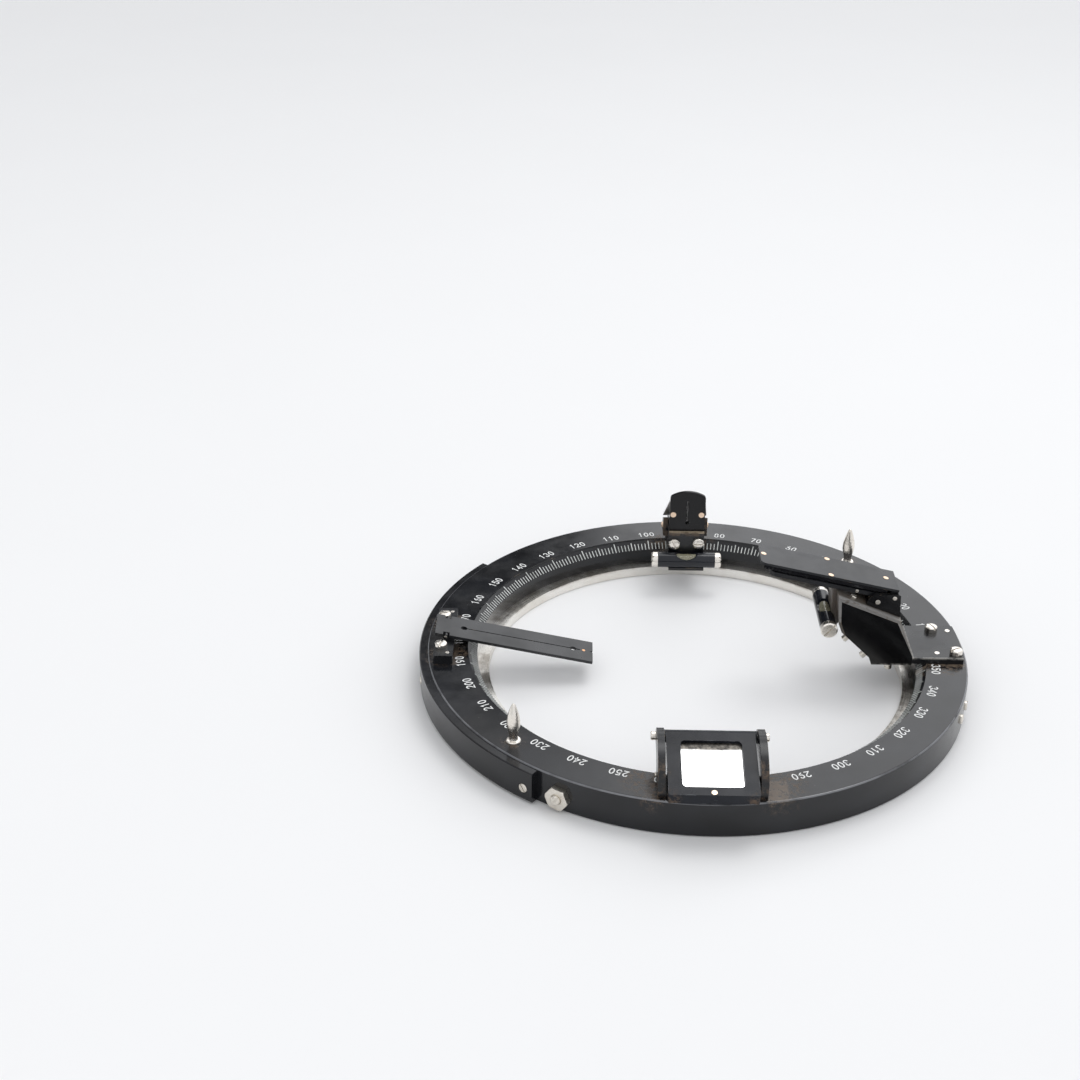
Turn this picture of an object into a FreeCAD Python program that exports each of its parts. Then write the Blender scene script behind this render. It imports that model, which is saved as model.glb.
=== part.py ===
import FreeCAD, Part
import math
import os

# Azimuth circle: a graduated ring that turns on a compass bezel, with four sights on it.
# Millimetres. Origin on the ring axis at its flat underside, +Z up.
# +X is 0 degrees (far sight), +Y is 90 (prism), -X is 180 (peep), -Y is 270 (mirror).

os.makedirs("parts", exist_ok=True)
V = FreeCAD.Vector

# Ring, from its bore outwards
seat_r = 100.4
seat_h = 5.0
lip_w = 5.6
bevel_w = 4.5
face_w = 19.5
wall_r = seat_r + lip_w
bevel_r = wall_r + bevel_w
ring_r = bevel_r + face_w
ring_h = 17.0
bevel_step = 1.0
bevel_drop = 3.5
wall_t = 4.0
rim_t = 3.2
top_t = 3.5
flange_h = 1.2
edge_round = 0.9
foot_bevel = 0.5

# Fits
hole_gap = 0.05
hinge_gap = 0.05
rest_gap = 0.05

# Counterweight strip on the outer wall
weight_t = 4.0
weight_low = 1.0
weight_lap = 0.8
weight_from = 143.5
weight_to = 235.0
weight_screw_at = (145.6, 189.2, 232.9)
weight_screw_z = 6.9
wall_screw_at = ((337.4, 8.9), (344.3, 6.8))

# Centring screws and lock nuts
centring_at = (112.0, 240.0)
centring_z = 6.9
centring_r = 2.5
centring_out = 4.5
nut_flats = 10.2
nut_t = 3.0
nut_seat = 0.12

# Finger lugs
lug_inset = 9.0
lug_h = 19.5
lug_max_r = 3.1
lug_neck_r = 1.9
lug_foot_r = 3.4
lug_stud_r = 1.5

# Peep sight
peep_inset = 9.2
peep_up = 6.6
peep_drop = 11.1
peep_w = 18.0
peep_t = 1.5
peep_tail = 5.4
peep_reach = 72.1
peep_barrel_r = 1.5
peep_pin_r = 0.7
peep_notch = 1.55
peep_slit = 0.6
peep_slit_from = 8.2
peep_slit_end = 9.7
block_inset = 4.0
block_len = 9.2
block_reach = 22.6
block_h = 4.5

# Far sight, with its housing corners by inset from the ring's edge and height above its face
base_inset = 2.0
base_len = 25.4
base_half_w = 15.3
base_t = 3.0
tongue_len = 16.6
housing_half_w = 15.0
housing_skin = 1.4
cover_lap = 0.5
cover_t = 1.5
corner_a = (65.0, 35.4)
corner_f = (64.1, 21.1)
corner_e = (62.3, 16.5)
corner_s = (48.1, 2.8)
corner_d = (46.7, -1.1)
corner_k = (27.45, 3.5)
corner_r = (36.4, 22.1)
corner_b = (34.7, 23.2)
vane_inset = 38.3
vane_up = 33.5
vane_rise = 12.0
vane_pin_r = 1.0
knuckle_r = 2.0
vane_len = 60.1
vane_half_w = 9.0
vane_low = -2.5
vane_top = -0.5
vane_arm_half_w = 4.5
window_from = 8.6
window_to = 55.6
window_half_w = 4.5
wire_r = 0.25
back_len = 65.8
back_tail = 1.5
back_half_w = 9.4
back_t = 1.2
back_low = 2.4
glass_t = 2.0
back_pin_r = 1.3
ear_in = 9.6
ear_t = 1.9
rest_pin_r = 1.2
rest_pin_u = 7.2

# Level vials
level_r = 4.0
level_bore_r = 3.2
level_body = 30.0
level_cap = 3.2
level_cut_r = 8.5
level_cut = 2.5
far_level = (68.7, 19.0)
near_level_gap = 6.0
near_level_up = 1.7

# Prism sight
sight_half_w = 9.25
slit_inset = 42.0
slit_t = 1.5
slit_top = 38.7
block_w = 16.5
prism_up = 16.0
foot_inset = 3.0
foot_t = 3.5
prism_leg = 17.0
prism_half_w = 9.0
clip_t = 1.0
clip_lap = 1.2
cheek_in = 9.3
cheek_t = 2.4

# Concave mirror
mirror_inset = 32.0
mirror_up = 12.5
mirror_dip = 14.0
mirror_w = 38.6
mirror_t = 5.5
mirror_len = 35.0
mirror_window_from = 4.8
mirror_rim = 4.5
mirror_border = 6.1
mirror_recess = 1.4
mirror_glass_t = 2.0
mirror_cover_t = 1.3
mirror_curve_r = 230.0
ear_gap = 0.85
ear_plate_t = 3.25
pivot_r = 1.3

wall_out = wall_r + wall_t
bevel_top = ring_h - bevel_step
bevel_low = bevel_top - bevel_drop
base_r = ring_r - base_inset
base_in_x = base_r - base_len
base_top = ring_h + base_t


def plus(inset, up):
    """Place on a sight at 0 or 90 degrees: way from the centre, and height."""
    return (ring_r - inset, ring_h + up)


def minus(inset, up):
    """The same at 180 or 270 degrees."""
    return (inset - ring_r, ring_h + up)


def pluses(*items):
    """Places for an outline; four numbers are an arc through the first pair."""
    return [sum((plus(*item[k:k + 2]) for k in range(0, len(item), 2)), ()) for item in items]


def minuses(*items):
    return [sum((minus(*item[k:k + 2]) for k in range(0, len(item), 2)), ()) for item in items]


peep_x, peep_z = minus(peep_inset, peep_up)
vane_x, vane_z = plus(vane_inset, vane_up)
far_level_x, far_level_z = plus(*far_level)
slit_y = ring_r - slit_inset
foot_y = ring_r - foot_inset
near_level_y = slit_y - near_level_gap
near_level_z = ring_h + near_level_up
block_top = ring_h + prism_up
mirror_y, mirror_z = minus(mirror_inset, mirror_up)
peep_slit_to = peep_reach - peep_slit_end
lug_at_r = ring_r - lug_inset


def ring_point(radius, degrees, z):
    angle = math.radians(degrees)
    return V(radius * math.cos(angle), radius * math.sin(angle), z)


def box(x0, x1, y0, y1, z0, z1):
    return Part.makeBox(x1 - x0, y1 - y0, z1 - z0, V(x0, y0, z0))


def rod(radius, start, end):
    first, last = V(start), V(end)
    return Part.makeCylinder(radius, (last - first).Length, first, last - first)


def outline(items, lift):
    """Closed wire; a pair is a corner, four numbers are an arc through the first pair."""
    edges = []
    here = items[0][-2:]
    for item in list(items[1:]) + [items[0][-2:]]:
        goal = item[-2:]
        if len(item) == 4:
            edges.append(Part.Arc(lift(*here), lift(*item[:2]), lift(*goal)).toShape())
        elif goal != here:
            edges.append(Part.makeLine(lift(*here), lift(*goal)))
        here = goal
    return Part.Face(Part.Wire(edges))


def plate_xy(items, z0, z1):
    return outline(items, lambda a, b: V(a, b, z0)).extrude(V(0, 0, z1 - z0))


def plate_xz(items, y0, y1):
    return outline(items, lambda a, b: V(a, y0, b)).extrude(V(0, y1 - y0, 0))


def plate_yz(items, x0, x1):
    return outline(items, lambda a, b: V(x0, a, b)).extrude(V(x1 - x0, 0, 0))


def turned(items, sweep=360.0, start=0.0):
    face = outline(items, lambda a, b: V(a, 0, b))
    face.rotate(V(), V(0, 0, 1), start)
    return face.revolve(V(), V(0, 0, 1), sweep)


def fused(shapes):
    return shapes[0].fuse(shapes[1:]).removeSplitter()


def grouped(shapes):
    return Part.makeCompound(shapes)


def placed(shape, at, along, turn=0.0):
    """Stand a shape made on +Z on a seat, pointing along a direction."""
    spin = FreeCAD.Rotation(V(0, 0, 1), turn)
    aim = FreeCAD.Rotation(V(0, 0, 1), V(along))
    moved = shape.copy()
    moved.Placement = FreeCAD.Placement(V(at), aim.multiply(spin))
    return moved


def both_sides(shape, normal):
    return [shape, shape.mirror(V(), normal)]


def rounded_box(x0, x1, y0, y1, z0, z1, radius):
    made = box(x0, x1, y0, y1, z0, z1)
    upright = [e for e in made.Edges if abs(e.tangentAt(e.FirstParameter).z) > 0.9]
    return made.makeFillet(radius, upright)


def slotted(head_r, head_h, crown, shank_r, shank_len):
    """Slotted screw with its seat at the origin and its head above."""
    side = head_h - crown
    profile = [(0.0, 0.0), (head_r, 0.0), (head_r, side)]
    if crown > 0.5:
        profile += [(head_r * 0.95, side + crown * 0.35), (head_r * 0.78, side + crown * 0.72),
                    (head_r * 0.45, side + crown * 0.95), (head_r * 0.15, head_h), (0.0, head_h)]
    else:
        profile += [(head_r - crown, head_h), (0.0, head_h)]
    head = turned(profile)
    slot = box(-head_r - 1, head_r + 1, -head_r * 0.11, head_r * 0.11, head_h * 0.55, head_h + 1)
    shank = rod(shank_r, (0, 0, -shank_len), (0, 0, 0.2))
    return fused([head.cut(slot), shank])


class Screws:
    """A set of alike slotted screws, and the holes they need."""

    def __init__(self, head_r, head_h, crown, shank_r, shank_len):
        self.made = slotted(head_r, head_h, crown, shank_r, shank_len)
        self.hole = rod(shank_r + hole_gap, (0, 0, -shank_len - 0.3), (0, 0, 0.1))
        self.placed = []
        self.holes = []

    def add(self, at, along, turn=0.0):
        self.placed.append(placed(self.made, at, along, turn))
        self.holes.append(placed(self.hole, at, along))


nodes = {}

# Sight frames: peep plate, far vane stack, mirror frame
down = math.radians(peep_drop)
peep_u = V(math.cos(down), 0, -math.sin(down))
peep_v = V(math.sin(down), 0, math.cos(down))
peep_at = V(peep_x, 0, peep_z)
rise = math.radians(vane_rise)
vane_u = V(-math.cos(rise), 0, math.sin(rise))
vane_v = V(math.sin(rise), 0, math.cos(rise))
vane_at = V(vane_x, 0, vane_z)
dip = math.radians(mirror_dip)
mirror_u = V(0, -math.cos(dip), -math.sin(dip))
mirror_v = V(0, -math.sin(dip), math.cos(dip))
mirror_at = V(0, mirror_y, mirror_z)


def slab(origin, u, v, t, across, u0, u1, v0, v1):
    """Block in a tilted frame, spanning a pair of positions across."""
    a0, a1 = across
    start = origin + u * u0 + v * v0 + t * a0
    face = Part.Face(Part.makePolygon([
        start,
        start + u * (u1 - u0),
        start + u * (u1 - u0) + v * (v1 - v0),
        start + v * (v1 - v0),
        start]))
    return face.extrude(t * (a1 - a0))


def peep_slab(u0, u1, v0, v1, y0, y1):
    return slab(peep_at, peep_u, peep_v, V(0, 1, 0), (y0, y1), u0, u1, v0, v1)


def vane_slab(u0, u1, v0, v1, y0, y1):
    return slab(vane_at, vane_u, vane_v, V(0, 1, 0), (y0, y1), u0, u1, v0, v1)


def mirror_slab(u0, u1, v0, v1, x0, x1):
    return slab(mirror_at, mirror_u, mirror_v, V(1, 0, 0), (x0, x1), u0, u1, v0, v1)


def vane_point(u, v, y):
    return vane_at + vane_u * u + vane_v * v + V(0, y, 0)


# Counterweight and the screws in the outer wall
weight_r = ring_r + weight_t
weight_high = ring_h - weight_lap
strip = turned([
    (ring_r, weight_low),
    (weight_r - 0.5, weight_low),
    (weight_r, weight_low + 0.5),
    (weight_r, weight_high - 0.5),
    (weight_r - 0.5, weight_high),
    (ring_r, weight_high)], weight_to - weight_from, weight_from)
weight_screws = Screws(2.2, 1.5, 0.3, 1.2, weight_t + 1.2)
head_pits = []
for degrees in weight_screw_at:
    outward = ring_point(1.0, degrees, 0.0)
    seat = ring_point(weight_r - 1.2, degrees, weight_screw_z)
    weight_screws.add(seat, outward, 90.0)
    head_pits.append(rod(2.35, seat, seat + outward * 3))

centring_screws = []
centring_holes = []
nuts = []
nut_seats = []
nut_in = ring_r - nut_seat
for degrees in centring_at:
    outward = ring_point(1.0, degrees, 0.0)
    tip = ring_point(wall_out, degrees, centring_z)
    crown_at = ring_point(ring_r + centring_out, degrees, centring_z)
    reach = ring_r + centring_out - wall_out
    body = placed(turned([(0.0, 0.0), (centring_r, 0.0), (centring_r, reach - 1.1),
                          (centring_r - 0.3, reach - 0.45), (centring_r - 1.1, reach),
                          (0.0, reach)]), tip, outward)
    slot = placed(box(-4, 4, -0.35, 0.35, -1.0, 1.0), crown_at, outward, degrees - 35.0)
    centring_screws.append(body.cut(slot))
    seat = ring_point(nut_in, degrees, centring_z)
    centring_holes.append(rod(centring_r + hole_gap, ring_point(ring_r - 5, degrees, centring_z),
                              ring_point(ring_r + 5, degrees, centring_z)))
    corner = nut_flats / math.sqrt(3)
    hexagon = [(corner * math.cos(math.radians(60 * k)), corner * math.sin(math.radians(60 * k)))
               for k in range(6)]
    nut = plate_xy(hexagon, 0, nut_t)
    cone = Part.makeCone(corner + 2.0, corner - 0.75, nut_t + 0.35, V(0, 0, 0), V(0, 0, 1))
    nut = nut.common(cone).cut(rod(centring_r + hole_gap, (0, 0, -1), (0, 0, nut_t + 1)))
    nuts.append(placed(nut, seat, outward, 24.0))
    nut_seats.append(rod(corner + 0.15, seat, seat + outward * 2))

wall_screws = Screws(2.3, 1.2, 0.3, 1.2, rim_t - 0.3)
wall_pits = []
for degrees, z in wall_screw_at:
    outward = ring_point(1.0, degrees, 0.0)
    seat = ring_point(ring_r - nut_seat, degrees, z)
    wall_screws.add(seat, outward, degrees)
    wall_pits.append(rod(2.4, seat, seat + outward * 3))

# Finger lugs
lugs = {}
lug_holes = []
for label, degrees in (("far", 45.0), ("near", 225.0)):
    lug = turned([
        (0.0, -3.2),
        (lug_stud_r, -3.2),
        (lug_stud_r, 0.0),
        (lug_foot_r, 0.0),
        (lug_foot_r, 0.5),
        (lug_foot_r - 0.4, 0.9),
        (lug_neck_r + 0.2, 1.0),
        (lug_neck_r, lug_h * 0.11),
        (lug_neck_r + 0.1, lug_h * 0.17),
        (lug_max_r * 0.76, lug_h * 0.25),
        (lug_max_r * 0.9, lug_h * 0.34),
        (lug_max_r * 0.98, lug_h * 0.42),
        (lug_max_r, lug_h * 0.49),
        (lug_max_r * 0.96, lug_h * 0.58),
        (lug_max_r * 0.86, lug_h * 0.68),
        (lug_max_r * 0.7, lug_h * 0.78),
        (lug_max_r * 0.5, lug_h * 0.88),
        (lug_max_r * 0.34, lug_h * 0.95),
        (lug_max_r * 0.22, lug_h * 0.985),
        (0.35, lug_h),
        (0.0, lug_h)])
    at = ring_point(lug_at_r, degrees, ring_h)
    lugs[label] = placed(lug, at, (0, 0, 1))
    lug_holes.append(rod(lug_stud_r + hole_gap, at - V(0, 0, top_t + 1), at + V(0, 0, 1)))

# Peep sight base, hinge and screws
half_gap = peep_w / 2 + 0.4
block_top_z = ring_h + block_h
block_x0 = block_inset - ring_r
block_x1 = block_x0 + block_len
block_screw_x = block_x0 + 3.3
block_screw_y = half_gap + 4.6
peep_screws = Screws(2.9, 2.6, 0.7, 1.5, block_h + 3.1)
for side, turn in ((-1, 80.0), (1, 20.0)):
    peep_screws.add((block_screw_x, block_screw_y * side, block_top_z), (0, 0, 1), turn)
dowel_x = block_x0 + 6.6
dowel_y = block_reach - 3.3
peep_dowels = [rod(0.9, (dowel_x, dowel_y * s, ring_h - 3.0), (dowel_x, dowel_y * s, block_top_z + 0.1))
               for s in (-1, 1)]
dowel_holes = [rod(0.9 + hole_gap, (dowel_x, dowel_y * s, ring_h - 3.3),
                   (dowel_x, dowel_y * s, block_top_z + 2)) for s in (-1, 1)]
half_block = rounded_box(block_x0, block_x1, half_gap, block_reach, ring_h, block_top_z, 0.6)
blocks = both_sides(half_block, V(0, 1, 0))
web = box(block_x1 - 3.7, block_x1, -half_gap - 1, half_gap + 1, ring_h, block_top_z)
ears = []
for side in (-1, 1):
    low, high = sorted((6.7 * side, 8.8 * side))
    stem = plate_xz([(peep_x + 0.2, block_top_z - 0.5), (peep_x + 3.8, block_top_z - 0.5),
                     (peep_x + 3.2, peep_z - 1.1), (peep_x + 1.2, peep_z - 0.65),
                     (peep_x + 0.2, peep_z - 0.65)], low, high)
    ears.append(stem)
    ears.append(rod(1.3, (peep_x, low, peep_z), (peep_x, high, peep_z)))
stop = plate_xz([(peep_x + 2.4, block_top_z - 0.5), (peep_x + 4.0, block_top_z - 0.5),
                 (peep_x + 4.0, peep_z - 4.0 * math.tan(down) - rest_gap),
                 (peep_x + 2.4, peep_z - 2.4 * math.tan(down) - rest_gap)], -half_gap, half_gap)
peep_base = fused(blocks + [web, stop] + ears)
pin_hole = rod(peep_pin_r + 0.02, (peep_x, -12, peep_z), (peep_x, 12, peep_z))
peep_base = peep_base.cut([pin_hole] + peep_screws.holes + dowel_holes)
peep_pin = rod(peep_pin_r, (peep_x, -8.8, peep_z), (peep_x, 8.8, peep_z))

half_w = peep_w / 2
leaf = peep_slab(-peep_tail, peep_reach, 0.0, peep_t, -half_w, half_w)
barrel = rod(peep_barrel_r, (peep_x, -6.5, peep_z), (peep_x, 6.5, peep_z))
leaf = leaf.fuse(barrel)
cuts = [rod(peep_pin_r + hinge_gap, (peep_x, -12, peep_z), (peep_x, 12, peep_z))]
for y0, y1 in ((-half_w - 1, -6.5), (6.5, half_w + 1)):
    cuts.append(peep_slab(-peep_notch, peep_notch, -3.0, 3.0, y0, y1))
cuts.append(peep_slab(peep_slit_from, peep_slit_to, -1, 3, -peep_slit / 2, peep_slit / 2))
cuts.append(peep_slab(peep_slit_to, peep_slit_to + 3.4, -1, 3, -0.4, 0.4))
for u in (peep_slit_from, peep_slit_to):
    centre = peep_at + peep_u * u
    cuts.append(rod(1.6, centre - peep_v * 3, centre + peep_v * 3))
tip = peep_at + peep_u * peep_reach
notch = Part.Face(Part.makePolygon([
    tip - peep_u * 1.6 - peep_v * 2,
    tip + peep_u * 0.4 + V(0, 1.3, 0) - peep_v * 2,
    tip + peep_u * 0.4 - V(0, 1.3, 0) - peep_v * 2,
    tip - peep_u * 1.6 - peep_v * 2])).extrude(peep_v * 5)
cuts.append(notch)
dot_at = peep_at + peep_u * (peep_reach - 4.5)
cuts.append(rod(0.8 + hole_gap, dot_at - peep_v, dot_at + peep_v * 3))
peep_vane = leaf.cut(cuts)
peep_dot = rod(0.8, dot_at, dot_at + peep_v * (peep_t + 0.05))

# Far sight base plate, with a tongue that carries the housing
far_edge = math.sqrt(base_r ** 2 - base_half_w ** 2)
inner_half = housing_half_w - housing_skin - 0.05
tongue_x = base_in_x - tongue_len
tongue_low = ring_h + 0.2
far_base = fused([
    plate_xy([(base_in_x, base_half_w), (base_in_x, -base_half_w),
              (far_edge, -base_half_w), (base_r, 0.0, far_edge, base_half_w)], ring_h, base_top),
    box(tongue_x, base_in_x + 0.7, -inner_half, inner_half, tongue_low, base_top)])
far_screws = Screws(3.0, 3.0, 0.8, 1.5, base_t + 2.9)
far_dowels = []
far_dowel_holes = []
for inset, y, turn in ((14.0, 10.9, -62.0), (5.8, -10.7, 25.0)):
    far_screws.add((ring_r - inset, y, base_top), (0, 0, 1), turn)
for inset, y in ((6.0, 10.9), (14.8, -10.1)):
    x = ring_r - inset
    far_dowels.append(rod(1.25, (x, y, ring_h - 3.0), (x, y, base_top + 0.15)))
    far_dowel_holes.append(rod(1.25 + hole_gap, (x, y, ring_h - 3.3), (x, y, base_top + 1)))

# Housing of the card mirror: two side plates with top, front, rear and floor plates
corner_a, corner_f, corner_e, corner_s, corner_d, corner_k, corner_r, corner_b = [
    plus(*corner) for corner in (corner_a, corner_f, corner_e, corner_s, corner_d, corner_k,
                                 corner_r, corner_b)]
corner_c = (base_in_x - rest_gap, corner_d[1])
corner_k = (base_in_x - rest_gap, corner_k[1])


def inward(p, q, depth):
    """Corner pair of a plate's inner face, offset to the right of the way from p to q."""
    dx, dz = q[0] - p[0], q[1] - p[1]
    size = math.hypot(dx, dz)
    nx, nz = dz / size * depth, -dx / size * depth
    return (p[0] + nx, p[1] + nz), (q[0] + nx, q[1] + nz)


def meet(first, second):
    (ax, az), (bx, bz) = first
    (cx, cz), (dx, dz) = second
    cross = (bx - ax) * (dz - cz) - (bz - az) * (dx - cx)
    part = ((cx - ax) * (dz - cz) - (cz - az) * (dx - cx)) / cross
    return (ax + (bx - ax) * part, az + (bz - az) * part)


def flat(z):
    return ((0.0, z), (1.0, z))


top_in = inward(corner_a, corner_b, cover_t)
front_high_in = inward(corner_f, corner_a, 1.2)
front_low_in = inward(corner_e, corner_f, 1.2)
rear = (corner_r, corner_k)
rear_in = inward(corner_r, corner_k, 1.2)
tray_line = (corner_e, corner_s)
lip_in = inward(corner_d, corner_s, 1.2)
floor_in = corner_d[1] + 1.25
front_bend = meet(front_high_in, front_low_in)
front_end = meet(front_low_in, tray_line)
side_plate = plate_xz([meet(top_in, front_high_in), front_bend, front_end, corner_s, corner_d,
                       corner_c, corner_k, meet(top_in, rear)],
                      housing_half_w - housing_skin, housing_half_w)
side_plates = both_sides(side_plate, V(0, 1, 0))
cover_half = housing_half_w + cover_lap
top_plate = plate_xz([corner_a, corner_b, top_in[1], meet(top_in, (corner_a, corner_f))],
                     -cover_half, cover_half)
front_plate = plate_xz([corner_e, corner_f, meet(top_in, (corner_a, corner_f)),
                        meet(top_in, front_high_in), front_bend, front_end],
                       -housing_half_w, housing_half_w)
rear_plate = plate_xz([meet(top_in, rear), meet(top_in, rear_in), meet(rear_in, flat(base_top)),
                       meet(rear, flat(base_top))], -inner_half, inner_half)
floor_plate = plate_xz([corner_s, corner_d, corner_c, (corner_c[0], floor_in),
                        meet(lip_in, flat(floor_in)), lip_in[1]], -inner_half, inner_half)
tray_len = math.hypot(corner_s[0] - corner_e[0], corner_s[1] - corner_e[1])
tray_u = V((corner_s[0] - corner_e[0]) / tray_len, 0, (corner_s[1] - corner_e[1]) / tray_len)
tray_v = V(tray_u.z, 0, -tray_u.x)
tray_at = V(corner_e[0], 0, corner_e[1])
tray_t = 3.4
card_t = 2.2
card_half = inner_half - 2.7


def tray_slab(u0, u1, v0, v1, half):
    return slab(tray_at, tray_u, tray_v, V(0, 1, 0), (-half, half), u0, u1, v0, v1)


tray = tray_slab(1.5, tray_len - 0.1, -tray_t, 0.0, inner_half)
tray = tray.cut([tray_slab(3.0, tray_len - 3.0, -card_t, 1.0, card_half), floor_plate, front_plate])
card_mirror = tray_slab(3.05, tray_len - 3.05, -card_t, -0.1, card_half - 0.05)
card_screws = Screws(1.6, 2.8, 0.3, 0.7, tray_t - 0.6)
for u in (4.9, tray_len - 2.0):
    for y in (-inner_half + 1.35, inner_half - 1.35):
        card_screws.add(tray_at + tray_u * u + V(0, y, 0), tray_v, 35.0 * y)
housing_screws = Screws(1.6, 1.1, 0.3, 0.8, cover_t - 0.1)
top_u = V(corner_b[0] - corner_a[0], 0, corner_b[1] - corner_a[1]).normalize()
top_v = V(-top_u.z, 0, top_u.x)
for y in (-8.8, 8.8):
    housing_screws.add(V(corner_a[0], y, corner_a[1]) + top_u * 8.3, top_v, 60.0 + 5 * y)
floor_screws = Screws(1.8, 3.3, 0.3, 0.8, 3.2)
for y in (-inner_half + 1.3, inner_half - 1.3):
    floor_screws.add((tongue_x + 6.0, y, corner_d[1]), (0, 0, -1), 20.0)

# Bracket of the far vane and reflector, standing on the housing
def on_top(x):
    return corner_a[1] + (x - corner_a[0]) * (corner_b[1] - corner_a[1]) / (corner_b[0] - corner_a[0])


vane_foot0 = vane_x - 13.0
vane_foot1 = vane_x + 3.4
ear_top = vane_z + 1.7
ear_outline = [(vane_foot0, on_top(vane_foot0)),
               (vane_foot0 + 1.4, ear_top - 1.6, vane_foot0 + 2.9, ear_top - 0.2),
               (vane_foot0 + 3.5, ear_top), (vane_foot1 - 1.2, ear_top), (vane_foot1 - 0.6, ear_top - 0.4),
               (vane_foot1, on_top(vane_foot1))]
vane_ear = plate_xz(ear_outline, ear_in, ear_in + ear_t)
foot_strip = plate_xz([(vane_foot0, on_top(vane_foot0)), (vane_foot1, on_top(vane_foot1)),
                       (vane_foot1, on_top(vane_foot1) + 1.4), (vane_foot0, on_top(vane_foot0) + 1.4)],
                      -ear_in - 0.5, ear_in + 0.5)
rest_at = vane_point(rest_pin_u, vane_low - rest_pin_r - rest_gap, 0)
vane_bracket = fused(both_sides(vane_ear, V(0, 1, 0)) + [foot_strip])
bracket_screws = Screws(1.7, 1.2, 0.3, 0.9, 2.6)
for y in (-5.5, 5.5):
    bracket_screws.add(V(vane_x - 4.5, y, on_top(vane_x - 4.5)) + top_v * 1.31, top_v, 30.0)
ear_out = ear_in + ear_t
vane_pin = rod(vane_pin_r, vane_at - V(0, ear_out + 0.3, 0), vane_at + V(0, ear_out + 0.3, 0))
rest_pin = rod(rest_pin_r, rest_at - V(0, ear_out + 0.3, 0), rest_at + V(0, ear_out + 0.3, 0))
vane_bracket = vane_bracket.cut([
    rod(vane_pin_r + 0.02, vane_at - V(0, 14, 0), vane_at + V(0, 14, 0)),
    rod(rest_pin_r + 0.02, rest_at - V(0, 14, 0), rest_at + V(0, 14, 0))] + bracket_screws.holes)

# Far vane with its wire
pin_bore = rod(vane_pin_r + hinge_gap, vane_at - V(0, 14, 0), vane_at + V(0, 14, 0))
vane_body = vane_slab(3.3, vane_len, vane_low, vane_top, -vane_half_w, vane_half_w)
ends = [e for e in vane_body.Edges
        if abs(e.tangentAt(e.FirstParameter).dot(vane_v)) > 0.9
        and (e.CenterOfMass - vane_at).dot(vane_u) > vane_len - 1]
vane_body = vane_body.makeFillet(3.0, ends)
vane_arm = vane_slab(0.0, 4.0, vane_low, vane_top, -vane_arm_half_w, vane_arm_half_w)
vane_knuckle = rod(knuckle_r, vane_at - V(0, vane_arm_half_w, 0), vane_at + V(0, vane_arm_half_w, 0))
wire_v = (vane_low + vane_top) / 2
wire_from = window_from - 3.0
wire_to = window_to + 2.2
wire = rod(wire_r, vane_point(wire_from, wire_v, 0), vane_point(wire_to, wire_v, 0))
wire_hole = rod(wire_r + 0.02, vane_point(wire_from, wire_v, 0), vane_point(wire_to, wire_v, 0))
clamps = Screws(1.0, 0.5, 0.1, 0.5, 0.7)
for u in (wire_from + 1.2, wire_to - 1.0):
    clamps.add(vane_point(u, vane_top, 0), vane_v, 45.0)
side_pins = []
side_pin_holes = []
for side in (-1, 1):
    seat = vane_point(17.7, wire_v, (vane_half_w - 1.0) * side)
    side_pins.append(rod(0.8, seat, seat + V(0, 1.08 * side, 0)))
    side_pin_holes.append(rod(0.82, seat, seat + V(0, 3 * side, 0)))
window = vane_slab(window_from, window_to, -4, 4, -window_half_w, window_half_w)
vane_frame = fused([vane_body, vane_arm, vane_knuckle])
vane_frame = vane_frame.cut([window, pin_bore, wire_hole] + clamps.holes + side_pin_holes)

# Dark reflector behind the vane
back = vane_slab(-back_tail, back_len, back_low, back_low + back_t, -back_half_w, back_half_w)
ends = [e for e in back.Edges
        if abs(e.tangentAt(e.FirstParameter).dot(vane_v)) > 0.9
        and (e.CenterOfMass - vane_at).dot(vane_u) > back_len - 1]
back = back.makeFillet(2.6, ends)
arms = []
for y0, y1 in ((-vane_half_w, -vane_arm_half_w - 0.2), (vane_arm_half_w + 0.2, vane_half_w)):
    arms.append(rod(knuckle_r, vane_at + V(0, y0, 0), vane_at + V(0, y1, 0)))
    arms.append(vane_slab(-back_tail, 1.6, 0.0, back_low + 0.2, y0, y1))
reflector_back = fused([back] + arms)
glass_low = back_low - glass_t
reflector_glass = vane_slab(3.6, back_len - 2.4, glass_low, back_low, -back_half_w + 0.5, back_half_w - 0.5)
back_pins = []
back_pin_holes = []
pin_top = back_low + back_t + 0.12
for u, y in ((back_len - 1.9, 0.0), (31.8, 7.9), (31.8, -7.9), (3.6, 0.6)):
    back_pins.append(rod(back_pin_r, vane_point(u, back_low + 0.3, y), vane_point(u, pin_top, y)))
    back_pin_holes.append(rod(back_pin_r + 0.02, vane_point(u, back_low + 0.28, y), vane_point(u, pin_top + 3, y)))
reflector_back = reflector_back.cut([pin_bore] + back_pin_holes)


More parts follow.
